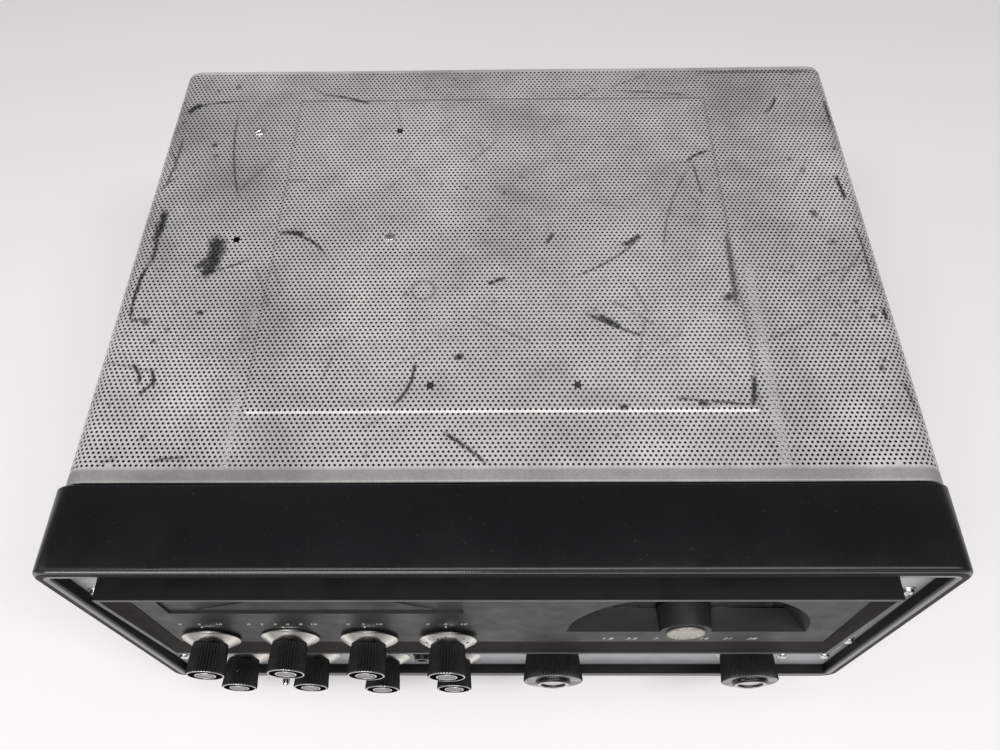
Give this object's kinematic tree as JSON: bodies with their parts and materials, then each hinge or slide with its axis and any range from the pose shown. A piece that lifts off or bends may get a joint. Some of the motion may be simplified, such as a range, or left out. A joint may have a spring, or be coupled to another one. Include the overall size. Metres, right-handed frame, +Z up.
{
  "type": "shortwave transmitter",
  "caption": "Tabletop shortwave radio set: perforated metal cabinet, black front surround, skirted control knobs, half-moon tuning dial and level meter.",
  "frame": {"origin": "centre of the bounding box's bottom face, on the table plane under the feet", "axes": "+X to the operator's right, +Y to the back of the cabinet, +Z up"},
  "size_m": [0.508, 0.4504, 0.267],
  "materials": {
    "black_paint": "satin, slightly textured",
    "silver_paint": "satin, scuffed",
    "panel_paint": "satin",
    "charcoal_paint": "fine matte texture",
    "plated_steel": "zinc plated",
    "knob_plastic": "satin",
    "spun_aluminium": "spun",
    "chrome": "polished",
    "clear_plastic": "clear",
    "dial_paint": "printed",
    "black_bakelite": "moulded",
    "rubber": "matte",
    "tube_glass": "clear",
    "core_steel": "black lacquer"
  },
  "bodies": {
    "set": {"front_bezel": "black_paint", "cabinet_wrap": "silver_paint", "bottom_plate": "silver_paint", "rear_panel": "silver_paint", "front_panel": "panel_paint", "escutcheon": "charcoal_paint", "dial_window": "clear_plastic", "medallion": "spun_aluminium", "meter_case": "black_bakelite", "meter_window": "clear_plastic", "control_1": "plated_steel", "control_2": "plated_steel", "control_3": "plated_steel", "control_4": "plated_steel", "control_5": "plated_steel", "control_6": "plated_steel", "control_7": "plated_steel", "control_8": "plated_steel", "toggle_body": "plated_steel", "phone_jack": "plated_steel", "foot_1": "rubber", "foot_2": "rubber", "foot_3": "rubber", "foot_4": "rubber", "chassis": "plated_steel", "capacitor_frame": "spun_aluminium", "output_tube_1": "tube_glass", "output_tube_2": "tube_glass", "driver_tube": "tube_glass", "power_transformer": "core_steel", "filter_choke": "core_steel", "filter_capacitor": "spun_aluminium", "vfo_box": "plated_steel", "coax_socket": "chrome", "fuse_holder": "black_bakelite", "terminal_strip": "black_bakelite"},
    "small_knob_1": {"knob_1": "knob_plastic", "skirt_1": "spun_aluminium"},
    "small_knob_2": {"knob_2": "knob_plastic", "skirt_2": "spun_aluminium"},
    "small_knob_3": {"knob_3": "knob_plastic", "skirt_3": "spun_aluminium"},
    "small_knob_4": {"knob_4": "knob_plastic", "skirt_4": "spun_aluminium"},
    "small_knob_5": {"knob_5": "knob_plastic", "skirt_5": "spun_aluminium"},
    "small_knob_6": {"knob_6": "knob_plastic", "skirt_6": "spun_aluminium"},
    "small_knob_7": {"knob_7": "knob_plastic", "skirt_7": "spun_aluminium"},
    "small_knob_8": {"knob_8": "knob_plastic", "skirt_8": "spun_aluminium"},
    "load_knob": {"knob_load": "knob_plastic", "capacitor_rotor": "spun_aluminium"},
    "tune_knob": {"knob_tune": "knob_plastic", "tune_flange": "spun_aluminium"},
    "dial": {"dial_disc": "dial_paint"},
    "lever": {"toggle_lever": "chrome"},
    "needle": {"meter_needle": "black_bakelite"}
  },
  "joints": [
    {"name": "audio_level_turn", "type": "hinge", "parent": "set", "child": "small_knob_1", "pos_m": [-0.1866, -0.2248, 0.153], "axis": [0, 1, 0], "range_deg": [-150, 150]},
    {"name": "compression_turn", "type": "hinge", "parent": "set", "child": "small_knob_2", "pos_m": [-0.1358, -0.2238, 0.153], "axis": [0, 1, 0], "range_deg": [-150, 150]},
    {"name": "drive_level_turn", "type": "hinge", "parent": "set", "child": "small_knob_3", "pos_m": [-0.085, -0.2248, 0.153], "axis": [0, 1, 0], "range_deg": [-150, 150]},
    {"name": "final_tune_turn", "type": "hinge", "parent": "set", "child": "small_knob_4", "pos_m": [-0.0343, -0.2256, 0.153], "axis": [0, 1, 0], "range_deg": [-90, 90]},
    {"name": "function_switch_turn", "type": "hinge", "parent": "set", "child": "small_knob_5", "pos_m": [-0.1866, -0.2172, 0.0803], "axis": [0, 1, 0], "range_deg": [-75, 75]},
    {"name": "band_switch_turn", "type": "hinge", "parent": "set", "child": "small_knob_6", "pos_m": [-0.1358, -0.2172, 0.0803], "axis": [0, 1, 0], "range_deg": [-75, 75]},
    {"name": "sideband_switch_turn", "type": "hinge", "parent": "set", "child": "small_knob_7", "pos_m": [-0.085, -0.2184, 0.0803], "axis": [0, 1, 0], "range_deg": [-45, 45]},
    {"name": "meter_switch_turn", "type": "hinge", "parent": "set", "child": "small_knob_8", "pos_m": [-0.0343, -0.218, 0.0803], "axis": [0, 1, 0], "range_deg": [-45, 45]},
    {"name": "load_knob_turn", "type": "hinge", "parent": "set", "child": "load_knob", "pos_m": [0.0352, -0.214, 0.087], "axis": [0, 1, 0], "range_deg": [-90, 90]},
    {"name": "tune_knob_turn", "type": "hinge", "parent": "set", "child": "tune_knob", "pos_m": [0.1723, -0.214, 0.087], "axis": [0, 1, 0], "range_deg": [-1440, 1440]},
    {"name": "dial_turn", "type": "hinge", "parent": "set", "child": "dial", "pos_m": [0.116, -0.1815, 0.1635], "axis": [0, 1, 0], "range_deg": [-90, 90]},
    {"name": "toggle_throw", "type": "hinge", "parent": "set", "child": "lever", "pos_m": [-0.1605, -0.195, 0.0575], "axis": [-1, 0, 0], "range_deg": [0, 20]},
    {"name": "needle_swing", "type": "hinge", "parent": "set", "child": "needle", "pos_m": [-0.107, -0.1894, 0.2135], "axis": [0, 1, 0], "range_deg": [0, 80], "stiffness_Nm_per_rad": 0.0002, "springref_deg": -11.46}
  ],
  "couplings": [
    {"joint": "dial_turn", "follows": "tune_knob_turn", "ratio": 0.0625}
  ]
}
